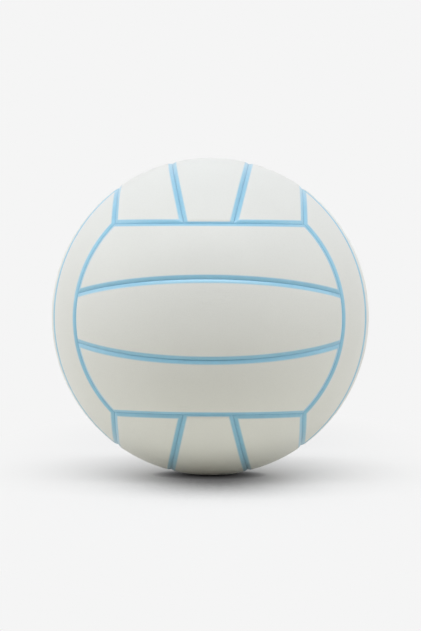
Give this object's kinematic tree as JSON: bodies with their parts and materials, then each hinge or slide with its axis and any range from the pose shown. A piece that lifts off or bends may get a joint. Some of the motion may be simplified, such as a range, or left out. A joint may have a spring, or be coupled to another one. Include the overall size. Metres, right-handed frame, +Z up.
{
  "type": "volleyball",
  "caption": "Indoor volleyball: a sewn cover of foam-backed strips in six faces, with blue grooved seams, over a rubber bladder with an inflation valve.",
  "frame": {"origin": "the ball's centre", "axes": "-Y out through the middle of the front face, whose strips lie level, +Y out through the valve in the middle of the back face, +Z up, +X to the right as seen from the front"},
  "size_m": [0.21, 0.2097, 0.21],
  "materials": {
    "cover_skin": "matte",
    "foam": "matte",
    "thread": "matte",
    "bladder_rubber": "matte",
    "patch_rubber": "matte",
    "valve_rubber": "matte",
    "core_rubber": "matte"
  },
  "bodies": {
    "root": {"cover_front_lower": "cover_skin", "cover_front_middle": "cover_skin", "cover_front_upper": "cover_skin", "cover_back_lower": "cover_skin", "cover_back_middle": "cover_skin", "cover_back_upper": "cover_skin", "cover_left_front": "cover_skin", "cover_left_middle": "cover_skin", "cover_left_back": "cover_skin", "cover_right_front": "cover_skin", "cover_right_middle": "cover_skin", "cover_right_back": "cover_skin", "cover_top_left": "cover_skin", "cover_top_middle": "cover_skin", "cover_top_right": "cover_skin", "cover_bottom_left": "cover_skin", "cover_bottom_middle": "cover_skin", "cover_bottom_right": "cover_skin", "foam_front_lower": "foam", "foam_front_middle": "foam", "foam_front_upper": "foam", "foam_back_lower": "foam", "foam_back_middle": "foam", "foam_back_upper": "foam", "foam_left_front": "foam", "foam_left_middle": "foam", "foam_left_back": "foam", "foam_right_front": "foam", "foam_right_middle": "foam", "foam_right_back": "foam", "foam_top_left": "foam", "foam_top_middle": "foam", "foam_top_right": "foam", "foam_bottom_left": "foam", "foam_bottom_middle": "foam", "foam_bottom_right": "foam", "thread_front": "thread", "thread_back": "thread", "thread_left": "thread", "thread_right": "thread", "thread_top": "thread", "thread_bottom": "thread", "bladder": "bladder_rubber", "valve_patch": "patch_rubber", "valve_housing": "valve_rubber", "valve_core": "core_rubber"}
  },
  "joints": []
}
